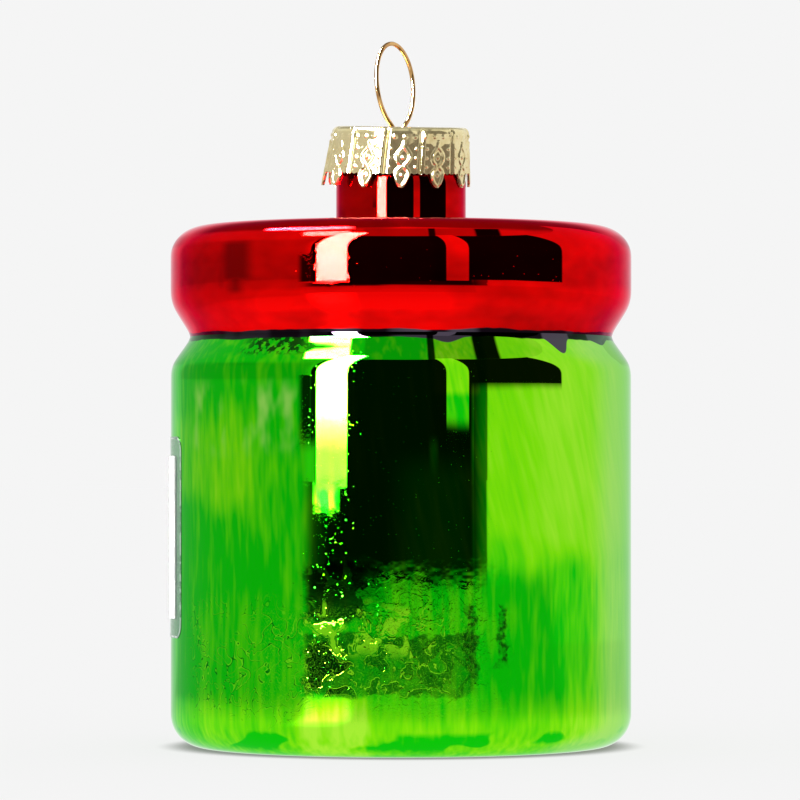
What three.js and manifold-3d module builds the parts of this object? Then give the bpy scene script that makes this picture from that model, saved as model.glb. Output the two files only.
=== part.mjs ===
// A hanging ornament of blown glass in the shape of a pickle jar, in millimetres, +Z up.
// The origin is the centre of the base, and the photographed side faces -Y.
import * as THREE from "three";
import { mergeVertices } from "three/addons/utils/BufferGeometryUtils.js";
import Module from "manifold-3d";

const wasm = await Module();
wasm.setup();

// Clearances and cutting.
const seatGap = 0.3;
const cutOverrun = 1;

// Jar, measured on the lacquered outside.
const jarRadius = 30;
const baseCornerRadius = 4.2;
const jarWallHeight = 48.3;
const shoulderRadius = 3.7;
const shoulderRise = 5;
const shoulderAngle = THREE.MathUtils.degToRad(36);
const waistDepth = 2.5;
const waistLowerFillet = 1;

// Lid and neck, blown in one with the jar and measured on the lacquered outside.
const waistUpperFillet = 1.2;
const lidOverhang = 0.05;
const lidFlareRise = 5.85;
const lidFlareAngle = THREE.MathUtils.degToRad(33.5);
const lidLowerRadius = 5.1;
const lidBandRise = 4.7;
const lidCornerWidth = 4.6;
const lidCornerHeight = 3.9;
const neckRadius = 8.48;
const neckRootFillet = 0.45;
const neckLength = 11.9;
const neckRimStep = 0.33;
const neckTaperDrop = 1.1;
const neckTaperLength = 0.9;

// Layers of the wall, from the outside in.
const lacquerThickness = 0.1;
const glassThickness = 0.9;
const liningThickness = 0.1;

// Cap, a stamped crown of thin sheet.
const capSheet = 0.25;
const capCreaseDepth = 0.25;
const capEdgeRadius = 0.8;
const capWallHeight = 6;
const capPointDrop = 1.8;
const capFlare = 0.65;
const capHemShift = 0.45;
const capPoints = 12;
const capTurn = THREE.MathUtils.degToRad(3.9);
// The cap sits askew: its front and its right side hang lower.
const capTilt = THREE.MathUtils.degToRad(4.2);
const capRoll = THREE.MathUtils.degToRad(0.8);
// From one crease to the next: how far the hem drops and how deep the crease is.
const hemDropShares = [0, 0, 0.2, 1, 0.2, 0];
const creaseShares = [1, 0.2, 0, 0, 0, 0.2];

// Hanger, one springy wire bent to a loop with two spread legs.
const wireDiameter = 0.6;
const loopWidth = 8;
const loopCentreRise = 5.7;
const loopUpperHeight = 5.2;
const loopLowerHeight = 5.8;
const loopOpenAngle = THREE.MathUtils.degToRad(140);
const waistWireGap = 0.7;
const waistWireDrop = 0.9;
const legDepth = 8.1;
const legBoreGap = 0.9;
const hangerShift = 0.4;
const hangerTurn = THREE.MathUtils.degToRad(53.7);
const hangerLean = THREE.MathUtils.degToRad(-4.9);
// From the cap's slot to the leg's end: share of the spread, share of the depth.
const legShares = [
  [0.12, 0.26],
  [0.5, 0.63],
  [1, 1],
];

// Label: a clear film with a white panel on it, on the left of the photographed side.
const filmThickness = 0.1;
const panelThickness = 0.1;
const filmStartAngle = THREE.MathUtils.degToRad(-70.1);
const filmTopGap = 8;
const filmHeight = 26;
const filmWidth = 50;
const filmMargin = 2.5;
const filmCornerRadius = 2;

// Facets.
const turnedFacets = 40;
const wireSides = 8;
const wireSteps = 46;
const loopPoints = 14;
const cornerSteps = 5;

// Sizes that follow from those above.
const waistRadius = jarRadius - waistDepth;
const waistHeight = jarWallHeight + shoulderRise;
const lidRadius = jarRadius + lidOverhang;
const lidBandHeight = waistHeight + lidFlareRise;
const lidTopHeight = lidBandHeight + lidBandRise + lidCornerHeight;
const filmBottom = jarWallHeight - filmTopGap - filmHeight;
const neckRimRadius = neckRadius - neckRimStep;
const neckRimHeight = lidTopHeight + neckLength;
const capSeatLift = neckRimRadius * Math.sin(capTilt);
const capTopHeight = neckRimHeight + seatGap + capSeatLift + capSheet;
const capTopRadius = neckRimRadius + seatGap + capCreaseDepth + capSheet;
const capHemHeight = capTopHeight - capWallHeight;
const glassInset = lacquerThickness;
const liningInset = glassInset + glassThickness;
const hollowInset = liningInset + liningThickness;
const boreRadius = neckRimRadius - hollowInset;
const wireRadius = wireDiameter / 2;
const wireWaist = waistWireGap / 2 + wireRadius;
const loopEndReach = (loopWidth / 2) * Math.sin(loopOpenAngle);
const loopEndRise = loopCentreRise + loopLowerHeight * Math.cos(loopOpenAngle);
const slotSlope = (loopEndReach - wireWaist) / (loopEndRise + waistWireDrop);
const slotReach = wireWaist + slotSlope * waistWireDrop;
const facetAngle = (2 * Math.PI) / turnedFacets;

// Points of an arc, from one angle to another, in radius and height.
function arc(centreRadius, centreHeight, radius, from, to, steps) {
  const points = [];
  for (let i = 0; i <= steps; i++) {
    const angle = from + ((to - from) * i) / steps;
    const x = centreRadius + radius * Math.cos(angle);
    points.push(new THREE.Vector2(x, centreHeight + radius * Math.sin(angle)));
  }
  return points;
}

// Points of an upright ellipse's quarter, from its side up to its top.
function ellipse(centreRadius, centreHeight, width, height, steps) {
  const quarter = arc(0, 0, 1, 0, Math.PI / 2, steps);
  return quarter.map((p) => new THREE.Vector2(centreRadius + width * p.x, centreHeight + height * p.y));
}

// The jar's outline at a depth below the lacquer, from the centre of the base up to the waist.
function jarOutline(inset) {
  const cornerCentre = jarRadius - baseCornerRadius;
  const shoulderCentre = jarRadius - shoulderRadius;
  const filletCentre = waistRadius + waistLowerFillet;
  return [
    new THREE.Vector2(0, inset),
    ...arc(cornerCentre, baseCornerRadius, baseCornerRadius - inset, -Math.PI / 2, 0, 3),
    ...arc(shoulderCentre, jarWallHeight, shoulderRadius - inset, 0, shoulderAngle, 3),
    ...arc(filletCentre, waistHeight, waistLowerFillet + inset, Math.PI + shoulderAngle, Math.PI, 1),
  ];
}

// The outline of the lid and neck at a depth below the lacquer, from the waist up to the rim.
function lidOutline(inset) {
  const filletCentre = waistRadius + waistUpperFillet;
  const lowerCentre = lidRadius - lidLowerRadius;
  const cornerCentre = lidRadius - lidCornerWidth;
  const cornerHeight = lidTopHeight - lidCornerHeight;
  const rootCentre = neckRadius + neckRootFillet;
  const rootHeight = lidTopHeight + neckRootFillet;
  const taperHeight = capHemHeight - neckTaperDrop;
  return [
    ...arc(filletCentre, waistHeight, waistUpperFillet + inset, Math.PI, Math.PI - lidFlareAngle, 2),
    ...arc(lowerCentre, lidBandHeight, lidLowerRadius - inset, -lidFlareAngle, 0, 3),
    ...ellipse(cornerCentre, cornerHeight, lidCornerWidth - inset, lidCornerHeight - inset, 4),
    ...arc(rootCentre, rootHeight, neckRootFillet + inset, -Math.PI / 2, -Math.PI, 2),
    new THREE.Vector2(neckRadius - inset, taperHeight),
    new THREE.Vector2(neckRimRadius - inset, taperHeight + neckTaperLength),
    new THREE.Vector2(neckRimRadius - inset, neckRimHeight),
  ];
}

// A turned solid, with its profile's first angle at -Y and its axis upright.
function turned(profile) {
  const geometry = new THREE.LatheGeometry(profile, turnedFacets);
  return geometry.rotateX(Math.PI / 2);
}

// The layer of the jar between two depths, from the base up to the waist.
function jarLayer(outerInset, innerInset) {
  return turned([...jarOutline(outerInset), ...jarOutline(innerInset).reverse()]);
}

// The layer of the lid and neck between two depths, closed at the waist and at the rim.
function lidLayer(outerInset, innerInset) {
  const outer = lidOutline(outerInset);
  return turned([...outer, ...lidOutline(innerInset).reverse(), outer[0]]);
}

// The layer of the whole vessel between two depths, open at the neck's rim.
function vesselLayer(outerInset, innerInset) {
  const outline = (inset) => [...jarOutline(inset), ...lidOutline(inset).slice(1)];
  return turned([...outline(outerInset), ...outline(innerInset).reverse()]);
}

// Joining and cutting.
function toSolid(geometry) {
  const bare = new THREE.BufferGeometry();
  bare.setAttribute("position", geometry.getAttribute("position"));
  bare.setIndex(geometry.getIndex());
  const merged = mergeVertices(bare);
  const mesh = new wasm.Mesh({
    numProp: 3,
    vertProperties: merged.attributes.position.array,
    triVerts: new Uint32Array(merged.index.array),
  });
  return new wasm.Manifold(mesh);
}

function toGeometry(solid) {
  const mesh = solid.getMesh();
  const geometry = new THREE.BufferGeometry();
  geometry.setAttribute("position", new THREE.BufferAttribute(mesh.vertProperties, 3));
  geometry.setIndex(new THREE.BufferAttribute(mesh.triVerts, 1));
  geometry.computeVertexNormals();
  return geometry;
}

// A point on the turned wall's flat facets, where angle 0 is -Y and grows towards +X.
function facetedPoint(radius, angle) {
  const within = angle - facetAngle * Math.floor(angle / facetAngle);
  const reach = (radius * Math.cos(facetAngle / 2)) / Math.cos(within - facetAngle / 2);
  return new THREE.Vector2(reach * Math.sin(angle), -reach * Math.cos(angle));
}

// The angles of the facet corners between two angles, with both ends.
function facetStops(from, to) {
  const stops = [from];
  for (let i = Math.floor(from / facetAngle) + 1; i * facetAngle < to; i++) stops.push(i * facetAngle);
  return [...stops, to];
}

// A thin sheet wrapped on the facets of an upright wall.
function wrappedSheet(radius, thickness, from, to, bottom, height) {
  const stops = facetStops(from, to);
  const inner = stops.map((angle) => facetedPoint(radius, angle));
  const outer = stops.map((angle) => facetedPoint(radius + thickness, angle));
  const section = new THREE.Shape([...outer, ...inner.reverse()]);
  const options = { depth: height, bevelEnabled: false };
  return new THREE.ExtrudeGeometry(section, options).translate(0, 0, bottom);
}

// What rounds one corner of a wrapped sheet away, with its sides given as -1 or 1.
function cornerCutter(radius, thickness, angle, height, sideways, upwards) {
  const reach = filmCornerRadius + cutOverrun;
  const round = arc(0, 0, filmCornerRadius, Math.PI / 2, 0, cornerSteps);
  const square = [new THREE.Vector2(reach, 0), new THREE.Vector2(reach, reach), new THREE.Vector2(0, reach)];
  const outline = [...round, ...square].map((p) => new THREE.Vector2(p.x * sideways, p.y * upwards));
  const options = { depth: thickness + 2 * cutOverrun, bevelEnabled: false };
  const outwards = new THREE.Vector3(Math.sin(angle), -Math.cos(angle), 0);
  const along = new THREE.Vector3(Math.cos(angle), Math.sin(angle), 0);
  const place = new THREE.Matrix4().makeBasis(along, new THREE.Vector3(0, 0, 1), outwards);
  place.setPosition(outwards.multiplyScalar(radius - cutOverrun).setZ(height));
  return new THREE.ExtrudeGeometry(new THREE.Shape(outline), options).applyMatrix4(place);
}

// Label film, clear, with round corners.
function labelFilm() {
  const from = filmStartAngle - filmWidth / jarRadius;
  const sheet = wrappedSheet(jarRadius, filmThickness, from, filmStartAngle, filmBottom, filmHeight);
  const inwards = filmCornerRadius / jarRadius;
  let solid = toSolid(sheet);
  for (const sideways of [-1, 1]) {
    const angle = sideways < 0 ? from + inwards : filmStartAngle - inwards;
    for (const upwards of [-1, 1]) {
      const height = filmBottom + (upwards < 0 ? filmCornerRadius : filmHeight - filmCornerRadius);
      const cutter = cornerCutter(jarRadius, filmThickness, angle, height, sideways, upwards);
      solid = solid.subtract(toSolid(cutter));
    }
  }
  return toGeometry(solid);
}

// Label panel, the white field on the film.
function labelPanel() {
  const inwards = filmMargin / jarRadius;
  const from = filmStartAngle - filmWidth / jarRadius + inwards;
  const radius = jarRadius + filmThickness;
  const bottom = filmBottom + filmMargin;
  const height = filmHeight - 2 * filmMargin;
  return wrappedSheet(radius, panelThickness, from, filmStartAngle - inwards, bottom, height);
}

// A closed skin through rings of points, from a pole on top to a pole underneath.
function skinned(topPole, rings, lowerPole) {
  const count = rings[0].length;
  const points = [topPole, ...rings.flat(), lowerPole];
  const at = (ring, column) => 1 + ring * count + (column % count);
  const index = [];
  for (let column = 0; column < count; column++) {
    index.push(0, at(0, column), at(0, column + 1));
    for (let ring = 0; ring + 1 < rings.length; ring++) {
      index.push(at(ring, column), at(ring + 1, column), at(ring, column + 1));
      index.push(at(ring + 1, column), at(ring + 1, column + 1), at(ring, column + 1));
    }
    index.push(at(rings.length - 1, column + 1), at(rings.length - 1, column), points.length - 1);
  }
  return new THREE.BufferGeometry().setFromPoints(points).setIndex(index);
}

// One side of the cap's sheet: its rings of points, from the top's edge down to the hem.
function capRings(inset) {
  const columns = capPoints * hemDropShares.length;
  const edge = arc(
    capTopRadius - capEdgeRadius,
    capTopHeight - capEdgeRadius,
    capEdgeRadius - inset,
    Math.PI / 2,
    0,
    3,
  );
  const wallShares = [0.4, 0.7, 1];
  const wallTop = capTopHeight - capEdgeRadius;
  const rings = [];
  const ringAt = (radiusAt, heightAt) => {
    const ring = [];
    for (let column = 0; column < columns; column++) {
      const angle = capTurn + (2 * Math.PI * (column / hemDropShares.length - 0.5)) / capPoints;
      const place = column % hemDropShares.length;
      const height = heightAt(place);
      const down = (capTopHeight - height) / capWallHeight;
      const radius = radiusAt(place, down);
      const x = radius * Math.sin(angle) - capHemShift * down;
      ring.push(new THREE.Vector3(x, -radius * Math.cos(angle), height));
    }
    return ring;
  };
  for (const point of edge) {
    const round = (capTopHeight - point.y) / capEdgeRadius;
    rings.push(
      ringAt(
        (place, down) => point.x + capFlare * down - capCreaseDepth * creaseShares[place] * round,
        () => point.y,
      ),
    );
  }
  for (const share of wallShares) {
    rings.push(
      ringAt(
        (place, down) => capTopRadius - inset + capFlare * down - capCreaseDepth * creaseShares[place],
        (place) => {
          const hem = capHemHeight - capPointDrop * hemDropShares[place];
          return wallTop + (hem - wallTop) * share;
        },
      ),
    );
  }
  return rings;
}

// The slot in the cap's top that both legs of the wire pass through.
function slotCutter() {
  const radius = wireRadius + seatGap;
  const right = arc(slotReach, 0, radius, -Math.PI / 2, Math.PI / 2, cornerSteps);
  const left = arc(-slotReach, 0, radius, Math.PI / 2, (3 * Math.PI) / 2, cornerSteps);
  const options = { depth: capSheet + 2 * cutOverrun, bevelEnabled: false };
  const cutter = new THREE.ExtrudeGeometry(new THREE.Shape([...right, ...left]), options);
  cutter.rotateZ(hangerTurn);
  return cutter.translate(-hangerShift, 0, capTopHeight - capSheet - cutOverrun);
}

// Sets the cap askew about the middle of its top.
function tilted(geometry) {
  return geometry
    .translate(0, 0, -capTopHeight)
    .rotateY(capRoll)
    .rotateX(capTilt)
    .translate(0, 0, capTopHeight);
}

// Cap, with its slot.
function cap() {
  const topPole = new THREE.Vector3(0, 0, capTopHeight);
  const lowerPole = new THREE.Vector3(0, 0, capTopHeight - capSheet);
  const crown = skinned(topPole, [...capRings(0), ...capRings(capSheet).reverse()], lowerPole);
  return tilted(toGeometry(toSolid(crown).subtract(toSolid(slotCutter()))));
}

// The wire's centre line on its right half, from the top of the loop down to the leg's end.
function hangerHalf() {
  const points = [];
  for (let i = 0; i <= loopPoints / 2; i++) {
    const angle = (loopOpenAngle * i) / (loopPoints / 2);
    const rise = Math.cos(angle) > 0 ? loopUpperHeight : loopLowerHeight;
    const height = loopCentreRise + rise * Math.cos(angle);
    points.push(new THREE.Vector3((loopWidth / 2) * Math.sin(angle), 0, height));
  }
  points.push(new THREE.Vector3(wireWaist, 0, -waistWireDrop));
  const spread = boreRadius - legBoreGap - wireRadius - wireWaist;
  for (const [spreadShare, depthShare] of legShares) {
    points.push(new THREE.Vector3(wireWaist + spread * spreadShare, 0, -legDepth * depthShare));
  }
  return points;
}

// Hanger wire, drawn about the middle of the cap's slot.
function hangerWire() {
  const right = hangerHalf();
  const left = right.slice(1).map((p) => new THREE.Vector3(-p.x, p.y, p.z));
  const path = new THREE.CatmullRomCurve3([...left.reverse(), ...right]);
  const section = new THREE.Shape(arc(0, 0, wireRadius, 0, 2 * Math.PI, wireSides).slice(1));
  return new THREE.ExtrudeGeometry(section, { steps: wireSteps, extrudePath: path, bevelEnabled: false });
}

// Finishes, in the colours of the photograph.
const finishes = {
  clearGlass: { color: 0xe8f2ec, roughness: 0.05, metalness: 0, transparent: true, opacity: 0.5 },
  silvering: { color: 0xd8d8d8, roughness: 0.08, metalness: 1 },
  greenLacquer: { color: 0x4ec800, roughness: 0.12, metalness: 0.8 },
  redLacquer: { color: 0xd80000, roughness: 0.1, metalness: 0.8 },
  clearFilm: { color: 0xc8ded2, roughness: 0.2, metalness: 0, transparent: true, opacity: 0.6 },
  whitePaper: { color: 0xf4f4f2, roughness: 0.7, metalness: 0 },
  paleGold: { color: 0xdfd3a2, roughness: 0.25, metalness: 1 },
  copperWire: { color: 0xa9743f, roughness: 0.25, metalness: 1 },
};

function piece(name, geometry, finish) {
  const mesh = new THREE.Mesh(geometry, new THREE.MeshStandardMaterial(finish));
  mesh.name = name;
  return mesh;
}

const group = new THREE.Group();
group.add(
  piece("glass_shell", vesselLayer(glassInset, liningInset), finishes.clearGlass),
  piece("mirror_lining", vesselLayer(liningInset, hollowInset), finishes.silvering),
  piece("green_lacquer", jarLayer(0, glassInset), finishes.greenLacquer),
  piece("red_lacquer", lidLayer(0, glassInset), finishes.redLacquer),
  piece("label_film", labelFilm(), finishes.clearFilm),
  piece("label_panel", labelPanel(), finishes.whitePaper),
  piece("cap", cap(), finishes.paleGold),
);

const hanger = new THREE.Group();
hanger.add(piece("hanger_wire", hangerWire(), finishes.copperWire));
hanger.position.set(-hangerShift, 0, capTopHeight);
hanger.rotation.set(hangerLean, 0, hangerTurn, "ZYX");
group.add(hanger);

export default group;
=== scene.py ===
import math

import bpy
import numpy as np
from mathutils import Matrix, Vector


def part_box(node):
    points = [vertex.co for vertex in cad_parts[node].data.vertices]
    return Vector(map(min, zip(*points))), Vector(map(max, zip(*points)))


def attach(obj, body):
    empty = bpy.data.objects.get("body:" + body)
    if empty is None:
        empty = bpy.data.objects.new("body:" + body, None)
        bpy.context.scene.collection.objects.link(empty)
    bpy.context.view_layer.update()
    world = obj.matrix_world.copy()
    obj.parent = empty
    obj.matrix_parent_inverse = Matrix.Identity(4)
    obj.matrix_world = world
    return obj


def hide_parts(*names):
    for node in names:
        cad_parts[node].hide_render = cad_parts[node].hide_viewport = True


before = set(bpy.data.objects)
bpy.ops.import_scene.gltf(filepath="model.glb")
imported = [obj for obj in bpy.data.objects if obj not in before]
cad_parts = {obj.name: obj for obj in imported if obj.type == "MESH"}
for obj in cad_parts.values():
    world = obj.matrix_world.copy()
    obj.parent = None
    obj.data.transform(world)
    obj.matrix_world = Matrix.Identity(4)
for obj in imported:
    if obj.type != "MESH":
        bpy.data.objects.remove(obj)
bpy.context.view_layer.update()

MM = 0.001

# Sizes read from the frame.
jar_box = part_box("green_lacquer")
lid_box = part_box("red_lacquer")
film_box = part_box("label_film")
panel_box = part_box("label_panel")
JAR_RADIUS = jar_box[1].x
WAIST_HEIGHT = jar_box[1].z
LID_RADIUS = lid_box[1].x
NECK_RIM_HEIGHT = lid_box[1].z
FILM_BOTTOM, FILM_TOP = film_box[0].z, film_box[1].z
PANEL_BOTTOM, PANEL_TOP = panel_box[0].z, panel_box[1].z

# Jar outline.
BASE_CORNER_RADIUS = 4.2 * MM
JAR_WALL_HEIGHT = 48.3 * MM
SHOULDER_RADIUS = 3.7 * MM
SHOULDER_ANGLE = math.radians(36)
WAIST_RADIUS = 27.5 * MM
WAIST_LOWER_FILLET = 1 * MM

# Lid and neck outline.
WAIST_UPPER_FILLET = 1.2 * MM
LID_BAND_HEIGHT = 59.15 * MM
LID_LOWER_RADIUS = 5.1 * MM
LID_FLARE_ANGLE = math.radians(33.5)
LID_TOP_HEIGHT = 67.75 * MM
LID_CORNER_WIDTH = 4.6 * MM
LID_CORNER_HEIGHT = 3.9 * MM
NECK_RADIUS = 8.48 * MM
NECK_ROOT_FILLET = 0.45 * MM
NECK_RIM_RADIUS = 8.15 * MM
NECK_TAPER_HEIGHT = 73.7 * MM
NECK_TAPER_LENGTH = 0.9 * MM

# Layers of the wall.
LACQUER = 0.1 * MM
GLASS = 0.9 * MM
LINING = 0.1 * MM

# How far the bends of the blown glass are eased.
JAR_EASE = 0.4 * MM
LID_EASE = 0.45 * MM

# Cap, which sits askew about the middle of its top.
CAP_TILT = math.radians(4.2)
CAP_ROLL = math.radians(0.8)
CAP_SEAT_GAP = 0.3 * MM
CAP_SHEET = 0.2 * MM
# The sheet of the solid cap, which sets how high the cap sits.
SOLID_CAP_SHEET = 0.25 * MM
CAP_LIFT = CAP_SEAT_GAP + SOLID_CAP_SHEET + NECK_RIM_RADIUS * math.sin(CAP_TILT)
CAP_TOP_HEIGHT = NECK_RIM_HEIGHT + CAP_LIFT
CAP_RADIUS = 8.88 * MM
CAP_EDGE_RADIUS = 0.8 * MM
CAP_WALL_HEIGHT = 6 * MM
CAP_POINT_DROP = 1.78 * MM
CAP_FLARE = 0.65 * MM
CAP_HEM_SHIFT = 0.45 * MM
CAP_CREASE_DEPTH = 0.3 * MM
CAP_POINTS = 12
CAP_TURN = math.radians(3.9)

# Hanger wire.
WIRE_RADIUS = 0.295 * MM
WIRE_WAIST = 0.65 * MM
WIRE_WAIST_DROP = 0.9 * MM
SLOT_REACH = 1.45 * MM
SLOT_GAP = 0.3 * MM
LOOP_HALF_WIDTH = 4 * MM
LOOP_CENTRE_RISE = 5.7 * MM
LOOP_UPPER_HEIGHT = 5.2 * MM
LOOP_LOWER_HEIGHT = 5.8 * MM
LOOP_OPEN_ANGLE = math.radians(140)
LEG_DEPTH = 8.1 * MM
LEG_SPREAD = 5.2 * MM
LEG_SHARES = ((0.12, 0.26), (0.5, 0.63), (1, 1))
HANGER_PLACE = Vector((-0.4 * MM, 0, CAP_TOP_HEIGHT))
HANGER_TURN = math.radians(53.7)
HANGER_LEAN = math.radians(-4.9)

# Label.
FILM_START = math.radians(-70.1)
FILM_WIDTH = 50 * MM
FILM_CORNER_RADIUS = 2 * MM
FILM_MARGIN = 2.5 * MM
FILM_THICKNESS = 0.1 * MM
FILM_UNDERCUT = 0.01 * MM
PANEL_THICKNESS = 0.08 * MM
PANEL_CORNER_RADIUS = 0.3 * MM

# Fineness of the meshes: what is seen, the inner faces of the coats, and the layers under the coats.
COLUMNS = 360
WALL_STEP = 0.6 * MM
WALL_TURN = math.radians(2.5)
ARC_TURN = math.radians(3)
EASE_STEP = 0.1 * MM
LEAST_STEP = 0.001 * MM
INNER_STEP = 4 * MM
INNER_TURN = math.radians(15)
HIDDEN_COLUMNS = 160
HIDDEN_STEP = 2 * MM
HIDDEN_TURN = math.radians(12)
SHARP_TURN = math.radians(50)
SHEET_ROWS = 64
SHEET_COLUMNS = 160
TONGUE_COLUMNS = 48
LOOP_POINTS = 8
WIRE_SIDES = 20
WIRE_SPAN_POINTS = 10


# Outlines, as arrays of radius and height.
def arc(radius, height, size, start, stop, turn):
    steps = max(2, math.ceil(abs(stop - start) / turn))
    angles = np.linspace(start, stop, steps + 1)
    return np.column_stack((radius + size * np.cos(angles), height + size * np.sin(angles)))


def line(start, stop, step):
    """The points between two ends of an outline, without the ends."""
    start, stop = np.array(start, float), np.array(stop, float)
    steps = max(1, math.ceil(np.linalg.norm(stop - start) / step))
    return start + (stop - start) * np.linspace(0, 1, steps + 1)[1:-1, None]


def joined(parts, step):
    """Arcs joined by straight lines, in order."""
    found = [parts[0]]
    for part in parts[1:]:
        found += [line(found[-1][-1], part[0], step), part]
    points = np.vstack(found)
    apart = np.r_[True, np.linalg.norm(np.diff(points, axis=0), axis=1) > LEAST_STEP]
    return points[apart]


def jar_outline(inset, turn=ARC_TURN, step=WALL_STEP):
    """From the centre of the base up to the waist."""
    corner = JAR_RADIUS - BASE_CORNER_RADIUS
    shoulder = JAR_RADIUS - SHOULDER_RADIUS
    fillet = WAIST_RADIUS + WAIST_LOWER_FILLET
    half, whole = math.pi / 2, math.pi
    parts = (
        np.array([[0, inset]]),
        arc(corner, BASE_CORNER_RADIUS, BASE_CORNER_RADIUS - inset, -half, 0, turn),
        arc(shoulder, JAR_WALL_HEIGHT, SHOULDER_RADIUS - inset, 0, SHOULDER_ANGLE, turn),
        arc(fillet, WAIST_HEIGHT, WAIST_LOWER_FILLET + inset, whole + SHOULDER_ANGLE, whole, 2 * turn),
    )
    return joined(parts, step)


def lid_outline(inset, turn=ARC_TURN, step=WALL_STEP):
    """From the waist up to the neck's rim."""
    fillet = WAIST_RADIUS + WAIST_UPPER_FILLET
    lower = LID_RADIUS - LID_LOWER_RADIUS
    corner = np.array([LID_RADIUS - LID_CORNER_WIDTH, LID_TOP_HEIGHT - LID_CORNER_HEIGHT])
    corner_size = np.array([LID_CORNER_WIDTH - inset, LID_CORNER_HEIGHT - inset])
    root = NECK_RADIUS + NECK_ROOT_FILLET
    half, whole = math.pi / 2, math.pi
    rim = NECK_RIM_RADIUS - inset
    parts = (
        arc(fillet, WAIST_HEIGHT, WAIST_UPPER_FILLET + inset, whole, whole - LID_FLARE_ANGLE, turn),
        arc(lower, LID_BAND_HEIGHT, LID_LOWER_RADIUS - inset, -LID_FLARE_ANGLE, 0, turn),
        corner + corner_size * arc(0, 0, 1, 0, half, turn),
        arc(root, LID_TOP_HEIGHT + NECK_ROOT_FILLET, NECK_ROOT_FILLET + inset, -half, -whole, 3 * turn),
        np.array([[NECK_RADIUS - inset, NECK_TAPER_HEIGHT]]),
        np.array([[rim, NECK_TAPER_HEIGHT + NECK_TAPER_LENGTH]]),
        np.array([[rim, NECK_RIM_HEIGHT]]),
    )
    return joined(parts, step)


def eased(outline, reach):
    """The outline with its bends eased over a short reach and its ends kept, in as few points as it needs."""
    along = np.r_[0, np.cumsum(np.linalg.norm(np.diff(outline, axis=0), axis=1))]
    places = np.linspace(0, along[-1], int(along[-1] / EASE_STEP) + 1)
    even = np.column_stack([np.interp(places, along, outline[:, k]) for k in (0, 1)])
    span = int(3 * reach / EASE_STEP)
    weights = np.exp(-0.5 * (np.arange(-span, span + 1) * EASE_STEP / reach) ** 2)
    weights /= weights.sum()
    before, after = 2 * even[0] - even[span:0:-1], 2 * even[-1] - even[-2 : -span - 2 : -1]
    padded = np.vstack((before, even, after))
    smooth = np.column_stack([np.convolve(padded[:, k], weights, "valid") for k in (0, 1)])
    step = np.diff(smooth, axis=0)
    heading = np.unwrap(np.arctan2(step[:, 1], step[:, 0]))
    kept = [0]
    for i in range(1, len(smooth) - 1):
        far = np.linalg.norm(smooth[i] - smooth[kept[-1]])
        if far > WALL_STEP or abs(heading[i] - heading[kept[-1]]) > WALL_TURN:
            kept.append(i)
    return smooth[[*kept, len(smooth) - 1]]


# Meshes.
def ring_places(outline, columns):
    """Turns an outline into rings of points, as an array of rows, columns and places."""
    angles = np.linspace(0, 2 * math.pi, columns, endpoint=False)
    radius, height = outline[:, :1], outline[:, 1:]
    x, y = radius * np.sin(angles), -radius * np.cos(angles)
    return np.stack((x, y, np.broadcast_to(height, x.shape)), axis=2)


def skin(name, rings, looped=False, poles=(None, None), outside_rows=None):
    """A closed surface through rings of points, which loop back to the first or end at poles or flat ends."""
    rows, columns = rings.shape[:2]
    places = rings.reshape(-1, 3)
    number = np.arange(rows * columns).reshape(rows, columns)
    after = np.roll(number, -1, axis=1)
    upper = np.roll(number, -1, axis=0) if looped else number[1:]
    upper_after = np.roll(after, -1, axis=0) if looped else after[1:]
    count = len(upper) if looped else rows - 1
    quads = np.stack((number[:count], after[:count], upper_after[:count], upper[:count]), axis=2)
    faces = quads.reshape(-1, 4).tolist()
    if not looped:
        for pole, edge, next_edge in ((poles[0], after[0], number[0]), (poles[1], number[-1], after[-1])):
            if pole is None:
                faces.append(edge.tolist() if edge is number[-1] else edge[::-1].tolist())
                continue
            places = np.vstack((places, pole))
            faces += [[a, b, len(places) - 1] for a, b in zip(edge.tolist(), next_edge.tolist())]
    mesh = bpy.data.meshes.new(name)
    mesh.from_pydata(places.tolist(), [], faces)
    if signed_volume(mesh) < 0:
        mesh.flip_normals()
    if outside_rows is not None:
        outside = np.zeros(len(places), np.float32)
        outside[: outside_rows * columns] = 1
        if poles[0] is not None:
            outside[rows * columns] = 1
        mesh.attributes.new("outside", "FLOAT", "POINT").data.foreach_set("value", outside)
    return finished_object(name, mesh)


def signed_volume(mesh):
    mesh.calc_loop_triangles()
    places = np.empty(len(mesh.vertices) * 3)
    mesh.vertices.foreach_get("co", places)
    corners = np.empty(len(mesh.loop_triangles) * 3, np.int32)
    mesh.loop_triangles.foreach_get("vertices", corners)
    a, b, c = places.reshape(-1, 3)[corners.reshape(-1, 3)].transpose(1, 0, 2)
    return np.einsum("ij,ij->i", a, np.cross(b, c)).sum() / 6


def finished_object(name, mesh):
    mesh.shade_smooth()
    mesh.set_sharp_from_angle(angle=SHARP_TURN)
    piece = bpy.data.objects.new(name, mesh)
    bpy.context.scene.collection.objects.link(piece)
    return piece


def end_poles(outer, inner):
    """The middles of the base, outside and inside, where a wall's rings end."""
    return ([0, 0, outer[0][1]], [0, 0, inner[0][1]])


def coat(name, outline, reach):
    """A turned coat with a fine outside and a coarser inside, closed at poles if it starts on the axis."""
    outer = eased(outline(0), reach)
    inner = outline(LACQUER, INNER_TURN, INNER_STEP)
    if outer[0][0] < LEAST_STEP:
        rings = ring_places(np.vstack((outer[1:], inner[:0:-1])), COLUMNS)
        return skin(name, rings, poles=end_poles(outer, inner), outside_rows=len(outer) - 1)
    rings = ring_places(np.vstack((outer, inner[::-1])), COLUMNS)
    return skin(name, rings, looped=True, outside_rows=len(outer))


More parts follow.
